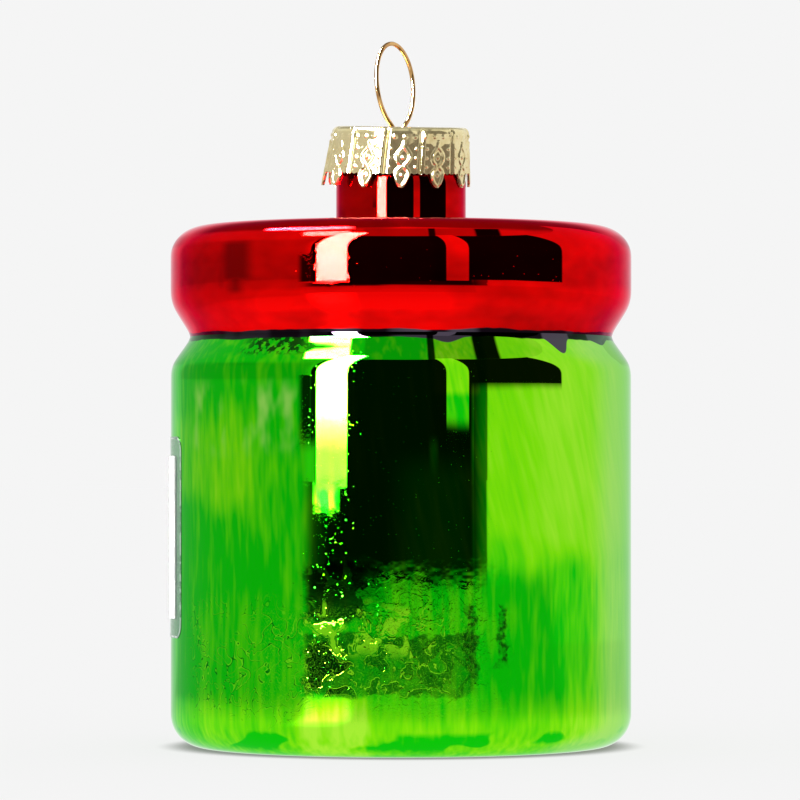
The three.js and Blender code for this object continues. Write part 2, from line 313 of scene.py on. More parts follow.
# Nodes.
class Nodes:
    """Adds nodes to a tree. Inputs are given by name or number, as values or as sockets to link."""

    def __init__(self, tree):
        self.tree = tree

    def add(self, kind, inputs=None, **settings):
        node = self.tree.nodes.new(kind)
        for key, value in settings.items():
            setattr(node, key, value)
        for key, value in (inputs or {}).items():
            if isinstance(value, bpy.types.NodeSocket):
                self.tree.links.new(value, node.inputs[key])
            else:
                node.inputs[key].default_value = value
        return node

    def math(self, operation, *values):
        return self.add("ShaderNodeMath", dict(enumerate(values)), operation=operation).outputs[0]

    def product(self, first, *others):
        for other in others:
            first = self.math("MULTIPLY", first, other)
        return first

    def total(self, first, *others):
        for other in others:
            first = self.math("ADD", first, other)
        return first

    def vector(self, operation, *values):
        inputs = dict(enumerate(values))
        return self.add("ShaderNodeVectorMath", inputs, operation=operation).outputs[0]

    def scaled(self, vector, factor):
        inputs = {0: vector, "Scale": factor}
        return self.add("ShaderNodeVectorMath", inputs, operation="SCALE").outputs[0]

    def ramp(self, value, low, high, at_low=0.0, at_high=1.0):
        """From at_low to at_high as value goes from low to high, with soft ends."""
        inputs = {"Value": value, "From Min": low, "From Max": high, "To Min": at_low, "To Max": at_high}
        return self.add("ShaderNodeMapRange", inputs, interpolation_type="SMOOTHSTEP").outputs[0]

    def window(self, value, low, high, blur):
        """1 where a value lies between two edges, 0 beyond them, with soft ends."""
        rising = self.ramp(value, low - blur, low + blur)
        return self.product(rising, self.ramp(value, high - blur, high + blur, 1.0, 0.0))

    def shades(self, value, stops):
        """A colour for a value, from stops of a place and a colour each."""
        node = self.add("ShaderNodeValToRGB", {0: value})
        elements = node.color_ramp.elements
        while len(elements) < len(stops):
            elements.new(1.0)
        for element, (place, colour) in zip(elements, stops):
            element.position = place
            element.color = (*colour, 1.0)
        return node.outputs[0]

    def mix(self, factor, first, second):
        return self.add("ShaderNodeMix", {0: factor, 6: first, 7: second}, data_type="RGBA").outputs[2]

    def blend(self, factor, first, second):
        inputs = {0: factor, 2: first, 3: second}
        return self.add("ShaderNodeMix", inputs, data_type="FLOAT").outputs[0]

    def noise(self, place, scale, detail=2.0, roughness=0.5, distortion=0.0):
        inputs = {"Vector": place, "Scale": scale, "Detail": detail, "Roughness": roughness}
        return self.add("ShaderNodeTexNoise", inputs | {"Distortion": distortion}).outputs[0]

    def cells(self, place, scale):
        return self.add("ShaderNodeTexVoronoi", {"Vector": place, "Scale": scale}).outputs


def sockets(tree, inputs, outputs):
    """Gives a node group its sockets, as names with their kinds and values."""
    for direction, wanted in (("INPUT", inputs), ("OUTPUT", outputs)):
        for name, (kind, value) in wanted.items():
            socket = tree.interface.new_socket(name, in_out=direction, socket_type="NodeSocket" + kind)
            if value is not None:
                socket.default_value = value


# Geometry nodes: the slow waves and shallow dents of blown glass.
def glass_waves():
    tree = bpy.data.node_groups.new("glass_waves", "GeometryNodeTree")
    wanted = {
        "Geometry": ("Geometry", None),
        "Wave depth": ("Float", 0.05 * MM),
        "Wave length": ("Float", 4 * MM),
        "Stretch": ("Float", 0.08),
        "Dent depth": ("Float", 0.01 * MM),
        "Dent length": ("Float", 4 * MM),
        "Seed": ("Float", 3.0),
        "Finish": ("Material", None),
    }
    sockets(tree, wanted, {"Geometry": ("Geometry", None)})
    n = Nodes(tree)
    given = n.add("NodeGroupInput").outputs
    place = n.add("GeometryNodeInputPosition").outputs[0]
    normal = n.add("GeometryNodeInputNormal").outputs[0]
    outside = n.add("GeometryNodeInputNamedAttribute", {"Name": "outside"}, data_type="FLOAT").outputs[0]
    shifted = n.vector("ADD", place, n.add("ShaderNodeCombineXYZ", {0: given["Seed"]}).outputs[0])
    upright = n.add("ShaderNodeCombineXYZ", {0: 1.0, 1: 1.0, 2: given["Stretch"]}).outputs[0]
    upright = n.vector("MULTIPLY", shifted, upright)
    waves = n.noise(upright, n.math("DIVIDE", 1.0, given["Wave length"]), 1.0, 0.4)
    dents = n.noise(shifted, n.math("DIVIDE", 1.0, given["Dent length"]), 1.0, 0.4)
    dents = n.ramp(dents, 0.62, 0.8)
    drop = n.math("MULTIPLY", waves, given["Wave depth"])
    drop = n.math("MULTIPLY_ADD", dents, given["Dent depth"], drop)
    offset = n.scaled(normal, n.product(drop, outside, -1.0))
    moved = n.add("GeometryNodeSetPosition", {"Geometry": given["Geometry"], "Offset": offset}).outputs[0]
    whole = n.add("GeometryNodeRealizeInstances", {"Geometry": moved}).outputs[0]
    painted = n.add("GeometryNodeSetMaterial", {"Geometry": whole, "Material": given["Finish"]}).outputs[0]
    n.add("NodeGroupOutput", {"Geometry": painted})
    return tree


def worked(piece, tree, **values):
    """The piece's mesh as the tree leaves it, with no modifier left."""
    modifier = piece.modifiers.new(tree.name, "NODES")
    modifier.node_group = tree
    for item in tree.interface.items_tree:
        key = item.name.lower().replace(" ", "_")
        if item.in_out == "INPUT" and key in values:
            modifier[item.identifier] = values[key]
    depsgraph = bpy.context.evaluated_depsgraph_get()
    done = piece.evaluated_get(depsgraph)
    mesh = bpy.data.meshes.new_from_object(done, preserve_all_data_layers=True, depsgraph=depsgraph)
    mesh.name = piece.name
    piece.modifiers.remove(modifier)
    piece.data = mesh
    return piece


# Finishes.
def new_material(name):
    material = bpy.data.materials.new(name)
    material.use_nodes = True
    material.node_tree.nodes.clear()
    n = Nodes(material.node_tree)
    place = n.add("ShaderNodeTexCoord").outputs["Object"]
    return material, n, n.scaled(place, 1 / MM)


def surfaced(n, inputs):
    """Ends a material in one principled surface."""
    surface = n.add("ShaderNodeBsdfPrincipled", inputs).outputs[0]
    n.add("ShaderNodeOutputMaterial", {"Surface": surface})


def bumped(n, height, distance):
    return n.add("ShaderNodeBump", {"Height": height, "Distance": distance, "Strength": 1.0}).outputs[0]


def round_place(n, place):
    """The turn from the front and the height of a place."""
    x, y, z = n.add("ShaderNodeSeparateXYZ", {0: place}).outputs
    return n.math("ARCTAN2", x, n.math("MULTIPLY", y, -1.0)), z


# Colours of the coats, and marks on them: left and right turn in degrees, low and high edge in millimetres.
GREEN_STOPS = (
    (0.3, (0.0015, 0.54, 0.0005)),
    (0.5, (0.08, 0.65, 0.0005)),
    (0.72, (0.2, 0.75, 0.001)),
    (0.95, (0.36, 0.82, 0.03)),
)
GREEN_POOL = (0.003, 0.11, 0.001, 1.0)
GREEN_REFLECTED_BAR = (0.003, 0.07, 0.001, 1.0)
GREEN_BLACK = (0.001, 0.02, 0.0005, 1.0)
GREEN_SHORE_AND_GLINT = (0.26, 0.8, 0.01, 1.0)
GREEN_CURL = (0.14, 0.75, 0.005, 1.0)
PALE_CURL = (0.22, 0.8, 0.01, 1.0)
DARK_CURL = (0.0, 0.2, 0.002, 1.0)
GREEN_SMEAR = (0.36, 0.75, 0.12, 1.0)
GREEN_PIT = (0.0, 0.06, 0.0, 1.0)
GREEN_MOTTLE = (0.003, 0.02, 0.002, 1.0)
GREEN_PAINTED_RIM = (0.45, 0.72, 0.22, 1.0)
GREEN_EDGE = (0.6, 0.85, 0.62, 1.0)
RED_STOPS = ((0.0, (0.26, 0.0002, 0.0)), (0.5, (0.66, 0.0003, 0.0)), (0.85, (0.92, 0.0004, 0.0)))
RED_SPOT_AND_REFLECTION = (0.2, 0.0, 0.0, 1.0)
RED_EDGE = (0.95, 0.45, 0.55, 1.0)
SEAM_BLACK = (0.006, 0.003, 0.006, 1.0)
SEAM_GREY = (0.07, 0.055, 0.08, 1.0)
# The two bars are painted reflections of dark uprights beside the jar.
REFLECTED_DARK_BARS = ((15.2, 18.4, 9.8, 18.8), (24.0, 26.6, 11.6, 18.8))
BLACK_POOLS = ((-23.8, -12.6, 8.2, 14.2), (-23.5, -8, 17, 24.5))
# Two dark patches on the left of the lid: painted reflections of a dark card beside the jar.
RED_DARK_REFLECTIONS = ((-48.5, -39.5, 60.0, 64.8), (-46, -42, 58.4, 60.5))
# The same with the height of the pimples, as a share.
PIMPLED_PLACES = (
    (-26, -7, 8.3, 24.5, 1.0),
    (-26, 19, 8.3, 17.5, 0.3),
    (-13.5, -8, 40, 51, 1.5),
    (-27.5, -21.5, 38, 51, 1.2),
    (-25, -10, 25, 33, 0.25),
)
# Grey drips of the seam: the turn of the middle and half the width in degrees, and the drop in millimetres.
SEAM_DRIPS = ((45, 5, 1.9), (12, 5, 0.55), (66, 7, 0.7))


def patch(n, turn, height, left, right, low, high, blur_turn, blur_height):
    """1 inside a soft-edged patch of the wall, between two turns in degrees and two heights."""
    across = n.window(turn, math.radians(left), math.radians(right), math.radians(blur_turn))
    return n.product(across, n.window(height, low, high, blur_height))


def brushed(n, place, turn, height, slant, length):
    """Coordinates drawn out down the wall, leaning on the upper right."""
    leaning = n.ramp(turn, math.radians(-25), math.radians(40), 0.12, 1.0)
    lean = n.product(n.math("MAXIMUM", n.math("SUBTRACT", height, 25.0), 0.0), leaning, slant)
    inputs = {"Vector": place, "Angle": lean}
    turned = n.add("ShaderNodeVectorRotate", inputs, rotation_type="Z_AXIS").outputs[0]
    return n.vector("MULTIPLY", turned, (1.0, 1.0, 1.0 / length))


def varied(n, place, scale, amount, detail=1.5):
    """Noise about zero, up to the amount either way."""
    return n.math("MULTIPLY", n.math("SUBTRACT", n.noise(place, scale, detail, 0.5), 0.5), 2 * amount)


def specks(n, place, grain, size, share, height):
    """Small round bumps under the gloss, present in a share of the cells."""
    found = n.cells(place, grain)
    bump = n.ramp(found["Distance"], 0.0, size * grain, 1.0, 0.0)
    picked = n.add("ShaderNodeSeparateColor", {0: found["Color"]}).outputs[0]
    return n.product(bump, n.math("LESS_THAN", picked, share), height)


def seam_colour(n, place, turn, height, colour, low, high, drips=()):
    """The dark, wavy line where the two coats overlap at the waist, with grey drips below it."""
    level = n.vector("MULTIPLY", place, (1.0, 1.0, 0.2))
    at = n.total(height, varied(n, level, 0.12, 0.45), varied(n, level, 0.5, 0.12))
    greyed = n.product(n.ramp(n.noise(level, 0.17, 1.0), 0.5, 0.6), n.ramp(turn, -0.2, 0.1, 0.25, 1.0))
    for middle, half_width, drop in drips:
        away = n.math("ABSOLUTE", n.math("SUBTRACT", turn, math.radians(middle)))
        half = math.radians(half_width)
        at = n.math("ADD", at, n.product(n.ramp(away, 0.0, half, 1.0, 0.0), drop))
        greyed = n.math("MAXIMUM", greyed, n.ramp(away, half * 0.9, half * 1.1, 1.0, 0.0))
    return n.mix(n.window(at, low, high, 0.08), colour, n.mix(greyed, SEAM_BLACK, SEAM_GREY))


def lacquered(n, colour, height, edge, gloss):
    """Transparent lacquer over silvered glass, seen as a tinted mirror under a clear gloss."""
    normal = bumped(n, height, MM)
    surfaced(
        n,
        {
            "Base Color": colour,
            "Metallic": 1.0,
            "Roughness": 0.01,
            "Specular Tint": edge,
            "Normal": normal,
            "Coat Weight": gloss,
            "Coat Roughness": 0.01,
            "Coat IOR": 1.5,
            "Coat Normal": normal,
        },
    )


def green_amount(n, place, turn, z):
    """How thin the green coat is: deep at 0.3, pale at 0.95. It is thinner on the right and at the foot, and
    paled as painted reflection where bright strips are mirrored.
    """
    def from_turn(low, high, amount):
        return n.ramp(turn, math.radians(low), math.radians(high), 0.0, amount)

    drawn = brushed(n, place, turn, z, slant=0.011, length=7.0)
    cloud = varied(n, place, 0.1, 1.0)
    raised = n.math("MULTIPLY_ADD", cloud, 7.0, z)
    upper = n.ramp(raised, 20.5, 28.0)
    # Paler on the upper right in a sharp step at 21 degrees, a painted reflection edge, and thinner further
    # right.
    right_top_with_painted_step = n.product(n.total(from_turn(20.2, 21.6, 0.36), from_turn(28, 42, 0.12)), upper)
    lower = n.ramp(raised, 20.5, 28.0, 1.0, 0.0)
    right_foot = n.product(n.total(from_turn(38, 50, 0.14), from_turn(48, 60, 0.2)), lower)
    left_top = n.product(patch(n, turn, raised, -80, -38, 31, 43, 7, 3), 0.27)
    # Painted reflection: paler where the right bright strip is mirrored.
    strip_top_painted_reflection = n.product(patch(n, turn, z, 8, 19, 45.5, 53, 1, 0.6), 0.35)
    foot = n.product(n.ramp(n.math("MULTIPLY_ADD", cloud, 3.0, z), 4.0, 8.5, 1.0, 0.0), 0.26)
    # Painted reflection: paler at the foot where the left strip's image in the floor is mirrored.
    under_strip_painted_reflection = n.product(patch(n, turn, z, -25, -8, 0, 7.7, 2, 0.5), 0.3)
    streaks = n.total(varied(n, drawn, 1.1, 0.3), varied(n, drawn, 0.35, 0.2), n.product(cloud, 0.16))
    strip_place = n.product(patch(n, turn, z, -24, -12, 33, 54, 1, 1), 0.95)
    even = n.total(n.product(from_turn(18, 24, 0.55), upper), strip_place)
    streaks = n.product(streaks, n.math("SUBTRACT", 1.0, even))
    marks = n.ramp(n.noise(n.vector("MULTIPLY", place, (1.0, 1.0, 2.5)), 0.13, 1.0), 0.52, 0.58)
    marks = n.product(marks, n.window(z, 1.0, 3.0, 0.5), -0.4)
    return n.total(0.34, right_top_with_painted_step, right_foot, left_top, strip_top_painted_reflection, foot, under_strip_painted_reflection, streaks, marks)


def pool_noise(n, place):
    """Where the lacquer ran together: the shores of the pools lie about 0.5."""
    return n.noise(place, 0.42, 3.0, 0.5, 0.8)


def run_together(n, place, turn, z, colour):
    """The colour where the lacquer ran and dried in pools: deep bands with pale shores, with pale spots and
    dark bars painted as reflections.
    """
    wavy = n.math("ADD", z, varied(n, n.vector("MULTIPLY", place, (1.0, 1.0, 0.3)), 0.16, 0.9, 2.0))
    wavy = n.math("ADD", wavy, varied(n, place, 0.6, 1.3, 2.0))
    torn = n.math("MULTIPLY_ADD", varied(n, place, 0.5, 1.0, 3.0), 0.055, turn)
    pools = pool_noise(n, place)
    deep = n.product(patch(n, torn, wavy, -23.5, 18, 8.0, 15.4, 1, 0.25), n.ramp(pools, 0.4, 0.6, 0.85, 0.45))
    colour = n.mix(deep, colour, GREEN_POOL)
    mottled = n.ramp(n.noise(place, 1.8), 0.35, 0.6, 0.95, 0.35)
    # Dark bars on the right: painted reflections of dark uprights beside the jar.
    for edges in REFLECTED_DARK_BARS:
        colour = n.mix(n.product(patch(n, torn, wavy, *edges, 0.4, 0.5), mottled), colour, GREEN_REFLECTED_BAR)
    dense = n.ramp(pools, 0.52, 0.56, 0.9, 0.3)
    for edges in BLACK_POOLS:
        colour = n.mix(n.product(patch(n, torn, wavy, *edges, 2, 0.6), dense), colour, GREEN_BLACK)
    # Pale spots within the pools: painted reflections of the bright strip, picked up by the crinkled coat.
    pale = n.product(patch(n, torn, wavy, -25, 6, 13.2, 19, 2, 1), n.ramp(pools, 0.53, 0.56), 0.85)
    shores = n.window(pools, 0.492, 0.508, 0.006)
    shores = n.product(patch(n, torn, wavy, -24, 12, 8, 18, 2, 1), shores, 0.9)
    colour = n.mix(n.math("MAXIMUM", pale, shores), colour, GREEN_SHORE_AND_GLINT)
    curls = n.window(n.noise(place, 1.3, 2.0, 0.5, 1.4), 0.488, 0.512, 0.01)
    curls = n.product(curls, patch(n, torn, wavy, -38, 19, 5, 18.5, 4, 1.5), 0.6)
    colour = n.mix(curls, colour, GREEN_CURL)

    # Thin curls left of the pools, dark with a pale line beside them.
    drawn = n.noise(place, 0.4, 1.0, 0.5, 1.8)
    scattered = n.ramp(n.noise(place, 0.16, 1.0), 0.36, 0.5)
    beside = n.product(patch(n, torn, wavy, -62, -22, 5.5, 19, 6, 2.5), scattered)
    colour = n.mix(n.product(n.window(drawn, 0.52, 0.545, 0.01), beside, 0.7), colour, PALE_CURL)
    return n.mix(n.product(n.window(drawn, 0.489, 0.511, 0.007), beside), colour, DARK_CURL)


def green_relief(n, place, turn, z):
    """Ripples, pimples and pools under the gloss of the jar, in millimetres."""
    torn = n.total(varied(n, place, 0.16, 3.5, 3.0), varied(n, place, 0.8, 1.2, 2.0))
    ragged = n.math("ADD", z, torn)
    ragged_turn = n.math("MULTIPLY_ADD", torn, 0.02, turn)
    swell = n.ramp(z, 8.0, 15.0, 0.35, 1.0)
    zone = n.product(patch(n, ragged_turn, z, -40, 27, 3, 25, 4, 1.5), swell)
    fine_share = n.ramp(turn, math.radians(-10), math.radians(-4), 0.2, 1.0)
    fine = n.product(varied(n, place, 0.95, 0.0012, 1.0), fine_share)
    ripples = n.product(n.total(varied(n, place, 0.33, 0.002, 1.0), fine), zone)

    # Pools and curls lie flatter where the bright strip is mirrored.
    beside_strip = n.ramp(turn, math.radians(-12), math.radians(-5), 0.25, 1.0)
    shore = n.product(n.ramp(pool_noise(n, place), 0.485, 0.51, 0.0, 0.004), beside_strip)
    wet = patch(n, ragged_turn, ragged, -34, 19, 8.2, 22.5, 1.5, 0.8)
    faint = patch(n, ragged_turn, ragged, -62, 30, 5, 18, 5, 1.5)
    shore = n.product(shore, n.math("MAXIMUM", wet, n.product(faint, 0.5)))
    curl = n.math("ABSOLUTE", n.math("SUBTRACT", n.noise(place, 1.15, 2.0, 0.5, 1.4), 0.5))
    curl = n.product(n.ramp(curl, 0.0, 0.035, 0.0022, 0.0), beside_strip, beside_strip, 0.9)
    curl = n.product(curl, n.math("MAXIMUM", wet, n.product(faint, 0.4)))

    broken = n.ramp(n.noise(place, 0.3, 2.0), 0.4, 0.56)
    shares = [
        n.product(patch(n, ragged_turn, z, *edges, 1.5, 1.5), share) for *edges, share in PIMPLED_PLACES
    ]
    dots = n.total(specks(n, place, 2.0, 0.1, 0.5, 0.0026), specks(n, place, 3.4, 0.06, 0.45, 0.0013))
    pimples = n.product(n.total(dots, varied(n, place, 2.6, 0.0003, 1.0)), n.total(*shares), broken)
    tearing = n.product(patch(n, turn, z, -26, -12, 28, 60, 2, 1.5), n.ramp(z, 33.0, 38.5, 1.0, 0.0))
    torn_end = n.total(varied(n, place, 0.9, 0.0005, 2.0), varied(n, place, 0.3, 0.0007, 1.0))
    torn_end = n.product(torn_end, tearing)
    bubbles = n.product(specks(n, place, 1.1, 0.2, 0.16, 0.011), wet)
    beyond = patch(n, ragged_turn, z, -30, 22, 8, 53, 4, 2)
    grains = n.product(specks(n, place, 3.2, 0.05, 0.1, 0.003), beyond)
    return n.total(ripples, torn_end, shore, curl, pimples, bubbles, grains)


def green_lacquer():
    material, n, place = new_material("green_lacquer")
    turn, z = round_place(n, place)
    colour = n.shades(green_amount(n, place, turn, z), GREEN_STOPS)
    colour = run_together(n, place, turn, z, colour)

    # Milky smears near the shoulder, and dark pits.
    smear = n.vector("MULTIPLY", place, (1.0, 1.0, 0.5))
    smear = n.ramp(n.noise(smear, 0.3, 2.0), 0.44, 0.68)
    smear = n.product(smear, patch(n, turn, z, -62, -25, 38.5, 46.5, 5, 1.5), 0.8)
    colour = n.mix(smear, colour, GREEN_SMEAR)
    pits = n.cells(place, 0.33)
    pit = n.math("LESS_THAN", pits["Distance"], n.ramp(n.noise(place, 0.5), 0.56, 0.8, 0.0, 0.05))
    colour = n.mix(n.product(pit, 0.8), colour, GREEN_PIT)

    # Dark, mottled lacquer under the seam on the left.
    mottled = n.ramp(n.noise(place, 1.1, 3.0), 0.44, 0.54)
    mottled = n.product(patch(n, turn, z, -43, -24, 50.7, 53, 4, 0.4), mottled, 0.92)
    colour = n.mix(mottled, colour, GREEN_MOTTLE)

    # Painted pale rim: the right edge is paled where the surface turns away from the view, in place of the
    # light at the clear glass's edge.
    aslant = n.add("ShaderNodeLayerWeight", {"Blend": 0.5}).outputs["Facing"]
    paled = n.product(n.ramp(aslant, 0.42, 0.62), n.ramp(turn, 0.6, 0.9), 0.5)
    colour = n.mix(paled, colour, GREEN_PAINTED_RIM)
    colour = seam_colour(n, place, turn, z, colour, low=52.6, high=60.0, drips=SEAM_DRIPS)
    lacquered(n, colour, green_relief(n, place, turn, z), GREEN_EDGE, gloss=0.004)
    return material


def red_lacquer():
    material, n, place = new_material("red_lacquer")
    turn, z = round_place(n, place)
    level = n.vector("MULTIPLY", place, (1.0, 1.0, 1.8))
    sagged = n.product(n.window(z, 59.3, 63.2, 0.9), -0.2)
    thick = n.product(n.ramp(z, 67.5, 69.0), -0.36)
    underside = n.product(n.ramp(z, 55.0, 57.5, 1.0, 0.0), n.ramp(turn, 0.0, 0.5), -0.2)
    thin_band = n.product(patch(n, turn, z, -40, 12, 56.0, 58.6, 8, 0.4), 0.35)
    amount = n.total(0.62, sagged, thick, underside, thin_band)
    amount = n.total(amount, varied(n, level, 0.1, 0.4, 2.0), varied(n, level, 0.4, 0.12))
    colour = n.shades(amount, RED_STOPS)
    # Dark red spots at random, and two patches on the left that are painted reflections of a dark card.
    spots = n.ramp(n.noise(place, 0.17, 1.0), 0.68, 0.78, 0.0, 0.5)
    for edges in RED_DARK_REFLECTIONS:
        spots = n.math("MAXIMUM", spots, n.product(patch(n, turn, z, *edges, 2.5, 0.5), 0.85))
    colour = n.mix(spots, colour, RED_SPOT_AND_REFLECTION)
    colour = seam_colour(n, place, turn, z, colour, low=50.0, high=53.65)
    few = n.product(specks(n, place, 2.2, 0.09, 0.08, 0.008), patch(n, turn, z, -60, 50, 54, 64, 4, 1))
    beside = patch(n, turn, z, -25.5, -10.5, 58.8, 66, 1, 1)
    beside = n.product(varied(n, place, 3.2, 0.004, 1.0), beside, n.ramp(n.noise(place, 0.5), 0.4, 0.6))
    lacquered(n, colour, n.total(few, beside), RED_EDGE, gloss=0.0017)
    return material


# Metals, each as its colour and its darker colour.
SILVER = ((0.82, 0.82, 0.82, 1.0), (0.6, 0.6, 0.6, 1.0))
GOLD = ((0.85, 0.75, 0.4, 1.0), (0.74, 0.62, 0.29, 1.0))
COPPER = ((0.72, 0.43, 0.16, 1.0), (0.42, 0.2, 0.07, 1.0))


def plain_metal(name, colour, dark, roughness, grain, scratch, metallic=1.0):
    """Worn metal with fine scratches, drawn out down the piece by the scratch share."""
    material, n, place = new_material(name)
    wear = n.noise(place, 0.7, 4.0, 0.6)
    shade = n.mix(n.ramp(wear, 0.4, 0.75), colour, dark)
    lines = n.noise(n.vector("MULTIPLY", place, (1.0, 1.0, scratch)), grain, 2.0)
    normal = bumped(n, lines, 0.004 * MM)
    rough = n.ramp(n.noise(place, 1.6, 3.0), 0.3, 0.7, roughness[0], roughness[1])
    surfaced(n, {"Base Color": shade, "Metallic": metallic, "Roughness": rough, "Normal": normal})
    return material


def clear_glass():
    material, n, place = new_material("clear_glass")
    tint = n.mix(n.noise(place, 0.2), (0.9, 0.96, 0.93, 1.0), (0.97, 1.0, 0.98, 1.0))
    normal = bumped(n, n.noise(place, 0.4), 0.01 * MM)
    inputs = {"Base Color": tint, "Roughness": 0.03, "IOR": 1.5, "Transmission Weight": 1.0}
    surfaced(n, inputs | {"Normal": normal})
    return material


def label_film():
    """Clear film, with a thin glint along its edge."""
    material, n, place = new_material("clear_film")
    turn, z = round_place(n, place)
    half_width, half_height = FILM_WIDTH / MM / 2, (FILM_TOP - FILM_BOTTOM) / MM / 2
    middle_turn = FILM_START - FILM_WIDTH / JAR_RADIUS / 2
    middle_height = (FILM_TOP + FILM_BOTTOM) / MM / 2
    corner = FILM_CORNER_RADIUS / MM
    aside = n.math("PINGPONG", n.math("SUBTRACT", turn, middle_turn), math.pi)
    across = n.math("MULTIPLY", aside, JAR_RADIUS / MM)
    up = n.math("ABSOLUTE", n.math("SUBTRACT", z, middle_height))
    beyond = n.add("ShaderNodeCombineXYZ", {
        0: n.math("MAXIMUM", n.math("SUBTRACT", across, half_width - corner), 0.0),
        1: n.math("MAXIMUM", n.math("SUBTRACT", up, half_height - corner), 0.0),
    }).outputs[0]
    reach = n.add("ShaderNodeVectorMath", {0: beyond}, operation="LENGTH").outputs["Value"]
    edge = n.window(reach, corner - 0.3, corner - 0.1, 0.05)
    glint = n.product(edge, n.ramp(n.noise(place, 0.8, 2.0), 0.42, 0.56))
    cloudy = n.ramp(n.noise(place, 0.4, 3.0), 0.3, 0.7)
    colour = n.mix(cloudy, (0.2, 0.4, 0.28, 1.0), (0.27, 0.5, 0.36, 1.0))
    colour = n.mix(glint, colour, (0.85, 0.95, 0.88, 1.0))
    alpha = n.total(0.38, n.product(glint, 0.55))
    normal = bumped(n, n.noise(place, 3.0, 3.0), 0.004 * MM)
    inputs = {"Base Color": colour, "Roughness": 0.12, "Alpha": alpha, "Coat Weight": 0.2}
    surfaced(n, inputs | {"Normal": normal})
    return material


def label_paper():
    material, n, place = new_material("white_label")
    fibres = n.noise(place, 3.0, 4.0, 0.7)
    shade = n.mix(n.ramp(fibres, 0.3, 0.7), (0.86, 0.86, 0.85, 1.0), (0.8, 0.8, 0.79, 1.0))
    normal = bumped(n, fibres, 0.006 * MM)
    surfaced(n, {"Base Color": shade, "Roughness": 0.45, "Coat Weight": 0.2, "Normal": normal})
    return material


green = green_lacquer()
red = red_lacquer()
silver = plain_metal("silvering", *SILVER, roughness=(0.05, 0.15), grain=0.5, scratch=1.0)
gold = plain_metal("gold_sheet", *GOLD, roughness=(0.06, 0.1), grain=2.0, scratch=0.1, metallic=0.7)
copper = plain_metal("copper_wire", *COPPER, roughness=(0.08, 0.16), grain=3.0, scratch=0.2)
glass = clear_glass()
film_clear = label_film()
paper = label_paper()


# Vessel.
waves = glass_waves()
green_coat = coat("green_lacquer_coat", jar_outline, JAR_EASE)
worked(green_coat, waves, wave_depth=0.011 * MM, dent_depth=0.001 * MM, finish=green)
red_coat = coat("red_lacquer_coat", lid_outline, LID_EASE)
worked(red_coat, waves, wave_depth=0.016 * MM, dent_depth=0.002 * MM, finish=red, seed=7.0)


def vessel_outline(inset):
    jar, lid = (outline(inset, HIDDEN_TURN, HIDDEN_STEP) for outline in (jar_outline, lid_outline))
    return np.vstack((jar, lid[1:]))


def vessel_shell(name, inset, depth, finish):
    """A layer of the whole vessel, under the coats."""
    outer, inner = vessel_outline(inset), vessel_outline(inset + depth)
    rings = ring_places(np.vstack((outer[1:], inner[:0:-1])), HIDDEN_COLUMNS)
    piece = skin(name, rings, poles=end_poles(outer, inner))
    piece.data.materials.append(finish)
    return piece


glass_wall = vessel_shell("glass_wall", LACQUER, GLASS, glass)
silvered_inside = vessel_shell("silvered_inside", LACQUER + GLASS, LINING, silver)


# Label.
def wrapped(name, start, width, bottom, top, radius, thickness, corner, finish):
    """A thin sheet with round corners, wrapped on the jar."""
    height = top - bottom
    up = np.linspace(0, 1, SHEET_ROWS)
    up = (up - np.sin(4 * math.pi * up) / (4 * math.pi)) * height
    near = np.minimum(up, height - up)
    pulled = np.where(near < corner, corner - np.sqrt(np.maximum(0, corner**2 - (corner - near) ** 2)), 0)
    across = np.linspace(0, 1, SHEET_COLUMNS)
    angle = start - (pulled[:, None] + (width - 2 * pulled[:, None]) * across) / radius
    outer = np.stack((np.sin(angle), -np.cos(angle)), axis=2) * (radius + thickness)
    inner = np.stack((np.sin(angle), -np.cos(angle)), axis=2)[:, ::-1] * radius
    flat = np.concatenate((outer, inner), axis=1)
    heights = np.broadcast_to((bottom + up)[:, None, None], flat.shape[:2] + (1,))
    piece = skin(name, np.concatenate((flat, heights), axis=2))
    piece.data.materials.append(finish)
    return piece


label_sheet = wrapped(
    "label_clear_film", FILM_START, FILM_WIDTH, FILM_BOTTOM, FILM_TOP,
    JAR_RADIUS, FILM_THICKNESS - FILM_UNDERCUT, FILM_CORNER_RADIUS, film_clear,
)
panel_start = FILM_START - FILM_MARGIN / JAR_RADIUS
label_field = wrapped(
    "label_white_field", panel_start, FILM_WIDTH - 2 * FILM_MARGIN, PANEL_BOTTOM, PANEL_TOP,
    JAR_RADIUS + FILM_THICKNESS, PANEL_THICKNESS, PANEL_CORNER_RADIUS, paper,
)


# Cap: a stamped sheet, drawn as rings from the slot out to the edge and down to the hem.
def soft(value, low, high):
    share = np.clip((value - low) / (high - low), 0, 1)
    return share * share * (3 - 2 * share)


def dot(across, down, at_across, at_down, size):
    apart = np.hypot(across - at_across, down - at_down)
    return 1 - soft(apart, size * 0.2, size)


# The stamped pattern, in millimetres: across from the middle of a tongue, and down from the cap's top.
PITCH = 2 * math.pi * (CAP_RADIUS / MM + 0.4) / CAP_POINTS
FIGURE_DOWN = (1.8, 2.2, 2.65, 3.2, 3.55, 3.9, 4.25, 4.6, 4.95, 5.25, 5.6, 6.05, 6.45, 6.85, 7.3, 7.6)
FIGURE_HALF_WIDTH = (0, 0.05, 0.16, 0.6, 0.8, 0.86, 0.78, 0.52, 0.2, 0.36, 0.66, 0.8, 0.76, 0.62, 0.38, 0)
FIGURE_HEIGHT = 0.2
FIGURE_LINE = 0.16
FIGURE_DOTS = ((3.9, 0.3, 0.2), (6.15, 0.24, 0.18))
CREASE_DOTS = (2.75, 3.95, 5.1)
CREASE_DOT_ASIDE = 0.74
CREASE_DOT_SIZE = 0.24
CREASE_DOT_HEIGHT = 0.13
TOP_DOTS = 42
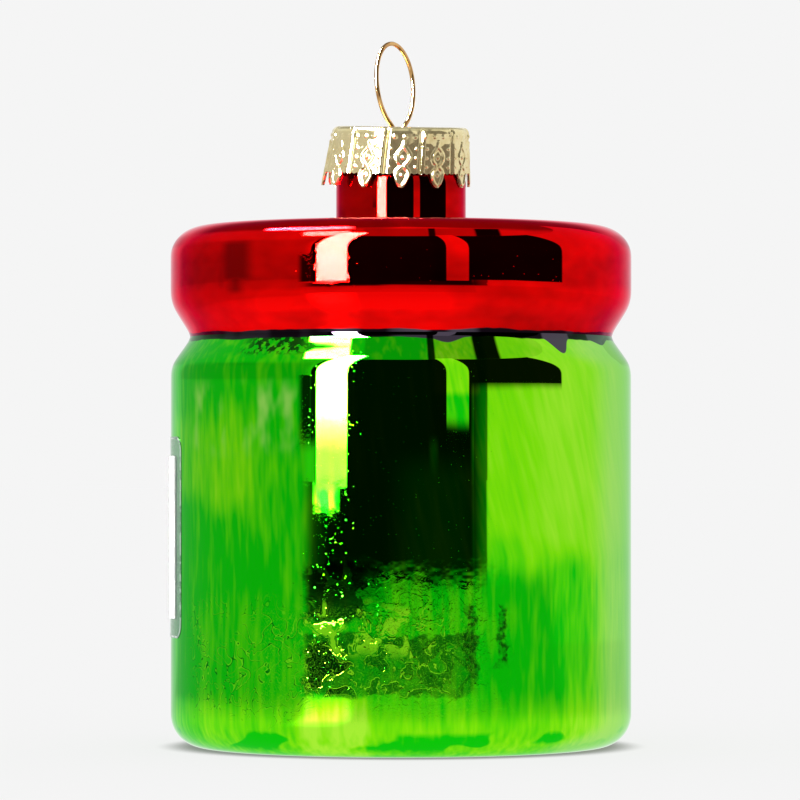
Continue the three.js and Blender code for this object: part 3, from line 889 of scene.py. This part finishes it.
TOP_DOT_DOWN = 1.2
TOP_DOT_SIZE = 0.36
TOP_DOT_HEIGHT = 0.11
# The folds between the tongues, each with a low lip on both sides, and the hem.
CREASE_WIDTH = 0.2
LIP_ASIDE = 0.5
LIP_WIDTH = 0.16
LIP_SHARE = 0.2
SCALLOP_PITCH = 0.8
SCALLOP_DROP = 0.08
POINT_HALF_WIDTH = 1.05


def stamping(angles, across, down):
    """Height of the stamped pattern above the sheet, by millimetres across one tongue and down the wall."""
    half_width = np.interp(down, FIGURE_DOWN, FIGURE_HALF_WIDTH)
    slope = (np.interp(down + 0.1, FIGURE_DOWN, FIGURE_HALF_WIDTH) - half_width) / 0.1
    away = (np.abs(across) - half_width) / np.sqrt(1 + slope**2)
    within = soft(down, FIGURE_DOWN[0] - 0.15, FIGURE_DOWN[0] + 0.15)
    raised = FIGURE_HEIGHT * np.exp(-((away / FIGURE_LINE) ** 2)) * within
    for at, size, height in FIGURE_DOTS:
        raised = np.maximum(raised, height * dot(across, down, 0, at, size))
    for side in (-1, 1):
        for at in CREASE_DOTS:
            aside = side * (PITCH / 2 - CREASE_DOT_ASIDE)
            raised = np.maximum(raised, CREASE_DOT_HEIGHT * dot(across, down, aside, at, CREASE_DOT_SIZE))
    spaced = ((angles / (2 * math.pi) * TOP_DOTS) % 1 - 0.5) * 2 * math.pi * CAP_RADIUS / MM / TOP_DOTS
    return np.maximum(raised, TOP_DOT_HEIGHT * dot(spaced, down, 0, TOP_DOT_DOWN, TOP_DOT_SIZE)) * MM


def cap_rings(inset, wall_rows, edge_rows, top_rows, stamped):
    """Rings of one face of the sheet, from the slot to the edge and down the wall to the hem."""
    columns = CAP_POINTS * TONGUE_COLUMNS
    angles = np.linspace(0, 2 * math.pi, columns, endpoint=False)
    share = ((angles - CAP_TURN) / (2 * math.pi) * CAP_POINTS + 0.5) % 1 - 0.5
    across = share * PITCH
    from_crease = PITCH / 2 - np.abs(across)
    lip = LIP_SHARE * np.exp(-(((from_crease - LIP_ASIDE) / LIP_WIDTH) ** 2))
    fold = np.exp(-from_crease / CREASE_WIDTH) - lip
    waves_across = np.cos(across * 2 * math.pi / SCALLOP_PITCH)
    beside_point = soft(np.abs(across), POINT_HALF_WIDTH - 0.05, POINT_HALF_WIDTH + 0.2)
    scallop = SCALLOP_DROP * waves_across * beside_point
    tongue = CAP_POINT_DROP * np.maximum(0, 1 - (np.abs(across) / POINT_HALF_WIDTH) ** 2.2) ** 0.9
    hem = CAP_TOP_HEIGHT - CAP_WALL_HEIGHT - tongue - scallop * MM
    chord = math.cos(math.pi / CAP_POINTS) / np.cos(share * 2 * math.pi / CAP_POINTS)
    flatter = (chord - 1) * CAP_RADIUS * 0.55
    rings = []

    def ring(radius, height, lift):
        down = (CAP_TOP_HEIGHT - height) / CAP_WALL_HEIGHT
        reach = radius + CAP_FLARE * down + lift
        x = reach * np.sin(angles) - CAP_HEM_SHIFT * down
        rings.append(np.column_stack((x, -reach * np.cos(angles), height)))

    slot = slot_ring(angles)
    for part in np.linspace(0, 1, top_rows, endpoint=False):
        outer = (CAP_RADIUS - CAP_EDGE_RADIUS) * np.column_stack((np.sin(angles), -np.cos(angles)))
        flat = slot * (1 - part) + outer * part
        rings.append(np.column_stack((flat, np.full(columns, CAP_TOP_HEIGHT - inset))))
    for turn in np.linspace(0, math.pi / 2, edge_rows, endpoint=False):
        size = CAP_EDGE_RADIUS - inset
        height = np.full(columns, CAP_TOP_HEIGHT - CAP_EDGE_RADIUS + size * math.cos(turn))
        radius = CAP_RADIUS - CAP_EDGE_RADIUS + size * math.sin(turn)
        ring(radius, height, -CAP_CREASE_DEPTH * fold * math.sin(turn) ** 2)
    top = CAP_TOP_HEIGHT - CAP_EDGE_RADIUS
    for part in np.linspace(0, 1, wall_rows):
        height = top + (hem - top) * part
        lift = flatter * min(1, part * 4) - CAP_CREASE_DEPTH * fold
        if stamped:
            lift = lift + stamping(angles, across, (CAP_TOP_HEIGHT - height) / MM)
        ring(CAP_RADIUS - inset, height, lift)
    return np.array(rings)


def slot_ring(angles):
    """The slot's edge, met at each angle round the cap."""
    size = WIRE_RADIUS + SLOT_GAP
    half = SLOT_REACH - size
    along = np.stack((np.sin(angles), -np.cos(angles)), axis=1)
    u = np.array([math.cos(HANGER_TURN), math.sin(HANGER_TURN)])
    v = np.array([-u[1], u[0]])
    du, dv = along @ u, along @ v
    places = np.stack((np.sign(du) * half * soft(np.abs(du), 0, 0.5) + size * du, size * dv), axis=1)
    return places[:, :1] * u + places[:, 1:] * v + np.array([HANGER_PLACE.x, 0])


outer_cap = cap_rings(inset=0, wall_rows=84, edge_rows=8, top_rows=12, stamped=True)
inner_cap = cap_rings(inset=CAP_SHEET, wall_rows=22, edge_rows=4, top_rows=6, stamped=False)
crown = skin("crown_cap_sheet", np.concatenate((outer_cap, inner_cap[::-1])), looped=True)
crown.data.materials.append(gold)
cap_middle = Matrix.Translation((0, 0, CAP_TOP_HEIGHT))
askew = Matrix.Rotation(CAP_TILT, 4, "X") @ Matrix.Rotation(CAP_ROLL, 4, "Y")
crown.data.transform(cap_middle @ askew @ cap_middle.inverted())


# Hanger wire.
def between(at, start, stop, first, last):
    return ((stop - at) * first + (at - start) * last) / (stop - start)


def smooth_path(points):
    """A centripetal curve through the points."""
    points = np.array(points, float)
    ends = (2 * points[0] - points[1], 2 * points[-1] - points[-2])
    p = np.vstack((ends[0], points, ends[1]))
    found = []
    for i in range(1, len(p) - 2):
        spans = [math.sqrt(np.linalg.norm(p[i + k + 1] - p[i + k])) for k in (-1, 0, 1)]
        t = np.cumsum([0, *spans])
        for s in np.linspace(t[1], t[2], WIRE_SPAN_POINTS, endpoint=False):
            a = [between(s, t[k], t[k + 1], p[i - 1 + k], p[i + k]) for k in range(3)]
            b = [between(s, t[k], t[k + 2], a[k], a[k + 1]) for k in range(2)]
            found.append(between(s, t[1], t[2], b[0], b[1]))
    return np.array([*found, points[-1]])


def wire_points():
    """Points along the wire in its own plane, from the left leg's end round the loop to the right leg's."""
    half = []
    for angle in np.linspace(0, LOOP_OPEN_ANGLE, LOOP_POINTS):
        rise = LOOP_UPPER_HEIGHT if math.cos(angle) > 0 else LOOP_LOWER_HEIGHT
        half.append((LOOP_HALF_WIDTH * math.sin(angle), LOOP_CENTRE_RISE + rise * math.cos(angle)))
    half.append((WIRE_WAIST, -WIRE_WAIST_DROP))
    half += [(WIRE_WAIST + LEG_SPREAD * spread, -LEG_DEPTH * depth) for spread, depth in LEG_SHARES]
    left = [(-x, z) for x, z in half[:0:-1]]
    return [(x, 0, z) for x, z in left + half]


def tube(name, path, radius, finish):
    """A tube along a path that lies in one upright plane."""
    along = np.gradient(path, axis=0)
    along /= np.linalg.norm(along, axis=1)[:, None]
    sideways = np.array([0.0, 1.0, 0.0])
    across = np.cross(along, sideways)
    turns = np.linspace(0, 2 * math.pi, WIRE_SIDES, endpoint=False)
    around = np.cos(turns)[None, :, None] * across[:, None] + np.sin(turns)[None, :, None] * sideways
    piece = skin(name, path[:, None] + radius * around)
    piece.data.materials.append(finish)
    return piece


wire = tube("hanger_loop_wire", smooth_path(wire_points()), WIRE_RADIUS, copper)
turned_wire = Matrix.Rotation(HANGER_TURN, 4, "Z") @ Matrix.Rotation(HANGER_LEAN, 4, "X")
wire.data.transform(Matrix.Translation(HANGER_PLACE) @ turned_wire)


# What each piece stands for, and the body that it rides on.
for piece, node, body, slot in (
    (green_coat, "green_lacquer", "vessel", "green_lacquer"),
    (red_coat, "red_lacquer", "vessel", "red_lacquer"),
    (glass_wall, "glass_shell", "vessel", "clear_glass"),
    (silvered_inside, "mirror_lining", "vessel", "silvering"),
    (label_sheet, "label_film", "vessel", "clear_film"),
    (label_field, "label_panel", "vessel", "white_label"),
    (crown, "cap", "crown_cap", "gold_sheet"),
    (wire, "hanger_wire", "hanger", "copper_wire"),
):
    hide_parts(node)
    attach(piece, body)


# Camera, at the photograph's place.
CAMERA_PLACE = Vector((-0.13 * MM, -643 * MM, 37.3 * MM))
CAMERA_AIM = Vector((-0.13 * MM, 0, 45.1 * MM))
CAMERA_LENS = 221.8
CAMERA_SENSOR = 36

camera = bpy.data.objects.new("camera", bpy.data.cameras.new("camera"))
bpy.context.scene.collection.objects.link(camera)
bpy.context.scene.camera = camera
camera.data.sensor_width = CAMERA_SENSOR
camera.data.lens = CAMERA_LENS
camera.location = CAMERA_PLACE
camera.rotation_euler = (CAMERA_AIM - CAMERA_PLACE).to_track_quat("-Z", "Y").to_euler()

# Studio: what the mirror sees, by direction. Degrees round from the camera, towards +X, and degrees up.
BACKGROUND = (0.913, 0.913, 0.913, 1.0)
ROOM_LEVEL = 1.1

# Each card: left and right edge and their blur, low and high edge and their blur, level, on both sides.
CARDS = (
    (-190, -47, 3, -90, 90, 1, 0.74, False),
    (-190, -47, 3, 1.35, 90, 0.3, 0.62, False),
    (144, 190, 4, -90, 70, 6, 0.95, True),
    (90, 190, 15, 25, 90, 8, 0.3, True),
)

# Overhead, by twice the turn and by the tilt of the part of a mirror that faces halfway to the card.
OVERHEAD_CARDS = (
    (-190, 190, 1, 20, 42, 5, 0.8, False),
    (-19, 13, 0.8, 24, 42, 0.7, 0.55, False),
    (13.4, 17.4, 0.7, 24, 42, 0.7, 0.02, False),
    (17.4, 37.8, 0.8, 24, 42, 0.7, 0.55, False),
    (37.8, 51.5, 1, 24, 42, 0.7, 0.006, False),
    (-49.6, -26.6, 1, 27, 35.2, 0.5, 300, False),
    (-73, -26.6, 3, 41, 47, 0.8, 280, False),
)
FRONT_CARDS = (
    (43.2, 150, 0.4, -90, 47, 0.08, 0.95, False),
    (36, 43.2, 0.4, -1.6, 48, 0.25, 0.25, False),
    (-41, 20, 7, -1.6, 48, 0.25, 0.008, False),
    (-45.2, 20, 0.2, 0.2, 48, 0.1, 0.008, False),
    (15, 38, 4, -1.6, 48, 0.25, 0.006, False),
    (0, 36, 10, -1.6, -0.05, 0.25, 0.022, False),
    (-51, -44, 2, 0.2, 3, 0.15, 0.03, False),
    (33.6, 87, 0.5, 0.86, 47, 0.08, 0.006, False),
    (22.3, 33.6, 0.25, 0.43, 52, 0.1, 1.0, False),
    (-42.2, -26.6, 0.2, -0.25, 62, 0.1, 32, False),
    (-42.2, -26.6, 0.2, 0.3, 62, 0.2, 200, False),
    (-42.2, -26.6, 0.2, 0.5, 62, 0.1, 600, False),
)

# What the mirror sees of the floor: the same, with metres out from the jar in place of degrees up.
FLOOR_LEVEL = 1.05
FLOOR_REACH = 6.0
SHADE_REACH = 3.5 * MM
SHADE_LEVEL = 0.3
EVENNESS = 0.88
FLOOR_CARDS = (
    (-190, 190, 1, 0.1, 20, 0.05, 0.9, False),
    (-190, -47, 3, 0.15, 20, 0.02, 0.74, False),
    (38, 80, 6, 0.15, 20, 0.03, 0.8, False),
    (80, 190, 6, 0.4, 20, 0.03, 0.97, False),
    (42.6, 190, 0.5, 1.0, 20, 0.2, 0.95, False),
    (-47, 36, 1, 0.195, 20, 0.012, 0.75, False),
    (-47, -8, 5, 0.75, 20, 0.15, 0.1, False),
    (36, 42.6, 0.5, 1.0, 20, 0.3, 0.25, False),
    (-41, 20, 7, 1.0, 20, 0.3, 0.008, False),
    (15, 38, 4, 1.0, 20, 0.3, 0.008, False),
    (0, 36, 10, 1.0, 20, 0.3, 0.022, False),
    (144, 190, 4, 0, 20, 0.01, 0.95, True),
    (-42, -24, 5, 0.075, 0.175, 0.035, 3.0, False),
    (-42.2, -32, 2.5, 3.3, 20, 0.4, 32, False),
)


def card_group():
    """One card or lamp: sets the level where a direction lies within its edges."""
    tree = bpy.data.node_groups.new("studio_card", "ShaderNodeTree")
    numbers = ("Round", "Up", "Before", "Left", "Right", "Side blur", "Low", "High", "Edge blur", "Level")
    sockets(tree, {name: ("Float", 0.0) for name in numbers}, {"Level": ("Float", None)})
    n = Nodes(tree)
    given = n.add("NodeGroupInput").outputs
    inside = []
    for value, low, high, blur in (("Round", *numbers[3:6]), ("Up", *numbers[6:9])):
        for edge, ends in ((low, (0.0, 1.0)), (high, (1.0, 0.0))):
            near, far = (n.math(operation, given[edge], given[blur]) for operation in ("SUBTRACT", "ADD"))
            inside.append(n.ramp(given[value], near, far, *ends))
    level = n.blend(n.product(*inside), given["Before"], given["Level"])
    n.add("NodeGroupOutput", {"Level": level})
    return tree


def level_of(n, group, cards, level, round_angle, up):
    """The level that the cards give, laid one over the other."""
    either_side = n.math("ABSOLUTE", round_angle)
    names = ("Left", "Right", "Side blur", "Low", "High", "Edge blur", "Level")
    for *values, mirrored in cards:
        inputs = {"Round": either_side if mirrored else round_angle, "Up": up, "Before": level}
        level = n.add("ShaderNodeGroup", inputs | dict(zip(names, values)), node_tree=group).outputs[0]
    return level


def studio(group):
    world = bpy.data.worlds.new("studio")
    bpy.context.scene.world = world
    world.use_nodes = True
    world.node_tree.nodes.clear()
    n = Nodes(world.node_tree)
    direction = n.add("ShaderNodeTexCoord").outputs["Generated"]
    x, y, z = n.add("ShaderNodeSeparateXYZ", {0: direction}).outputs
    round_angle = n.math("DEGREES", n.math("ARCTAN2", x, n.math("MULTIPLY", y, -1.0)))
    up = n.math("DEGREES", n.math("ARCSINE", z))
    facing = n.vector("NORMALIZE", n.vector("SUBTRACT", direction, (0.0, 1.0, 0.0)))
    across, along, above = n.add("ShaderNodeSeparateXYZ", {0: facing}).outputs
    turned = n.math("DEGREES", n.product(n.math("ARCTAN2", across, n.math("MULTIPLY", along, -1.0)), 2.0))
    tilted = n.math("DEGREES", n.math("ARCSINE", above))
    tilted = n.math("ADD", tilted, varied(n, facing, 7.0, 2.5))
    level = level_of(n, group, CARDS, ROOM_LEVEL, round_angle, up)
    level = level_of(n, group, OVERHEAD_CARDS, level, turned, tilted)
    level = level_of(n, group, FRONT_CARDS, level, round_angle, up)
    room = n.add("ShaderNodeCombineColor", {0: level, 1: level, 2: level}).outputs[0]
    path = n.add("ShaderNodeLightPath").outputs
    first_look = n.math("LESS_THAN", path["Diffuse Depth"], 0.5)
    sees_room = n.math("MULTIPLY", path["Is Glossy Ray"], first_look)
    shown = n.mix(sees_room, (1.0, 1.0, 1.0, 1.0), room)
    through = n.math("MAXIMUM", path["Is Camera Ray"], path["Is Transmission Ray"])
    shown = n.mix(through, shown, BACKGROUND)
    background = n.add("ShaderNodeBackground", {"Color": shown, "Strength": 1.0}).outputs[0]
    n.add("ShaderNodeOutputWorld", {"Surface": background})


def floor(group):
    mesh = bpy.data.meshes.new("floor")
    corners = [(FLOOR_REACH * x, FLOOR_REACH * y, 0) for x, y in ((-1, -1), (1, -1), (1, 1), (-1, 1))]
    mesh.from_pydata(corners, [], [(0, 1, 2, 3)])
    plane = bpy.data.objects.new("floor", mesh)
    bpy.context.scene.collection.objects.link(plane)
    material = bpy.data.materials.new("floor_paper")
    material.use_nodes = True
    material.node_tree.nodes.clear()
    n = Nodes(material.node_tree)
    place = n.add("ShaderNodeTexCoord").outputs["Object"]
    x, y, z = n.add("ShaderNodeSeparateXYZ", {0: place}).outputs
    far = n.add("ShaderNodeVectorMath", {0: place}, operation="LENGTH").outputs["Value"]
    round_angle = n.math("DEGREES", n.math("ARCTAN2", x, n.math("MULTIPLY", y, -1.0)))
    mirrored = level_of(n, group, FLOOR_CARDS, FLOOR_LEVEL, round_angle, far)
    mirrored = n.add("ShaderNodeEmission", {"Strength": mirrored}).outputs[0]

    # An even paper, shaded close to where the jar stands.
    lit = n.add("ShaderNodeBsdfDiffuse", {"Color": BACKGROUND}).outputs[0]
    shade = n.add("ShaderNodeAmbientOcclusion", {"Distance": SHADE_REACH}, samples=16).outputs["AO"]
    shade = n.ramp(shade, 0.0, 1.0, SHADE_LEVEL, 1.0)
    even = n.add("ShaderNodeEmission", {"Color": BACKGROUND, "Strength": shade}).outputs[0]
    path = n.add("ShaderNodeLightPath").outputs
    evenness = n.math("MULTIPLY", path["Is Camera Ray"], EVENNESS)
    paper_look = n.add("ShaderNodeMixShader", {0: evenness, 1: lit, 2: even}).outputs[0]
    surface = n.add("ShaderNodeMixShader", {0: path["Is Glossy Ray"], 1: paper_look, 2: mirrored}).outputs[0]
    n.add("ShaderNodeOutputMaterial", {"Surface": surface})
    mesh.materials.append(material)


card = card_group()
studio(card)
floor(card)
bpy.context.scene.view_settings.view_transform = "Standard"
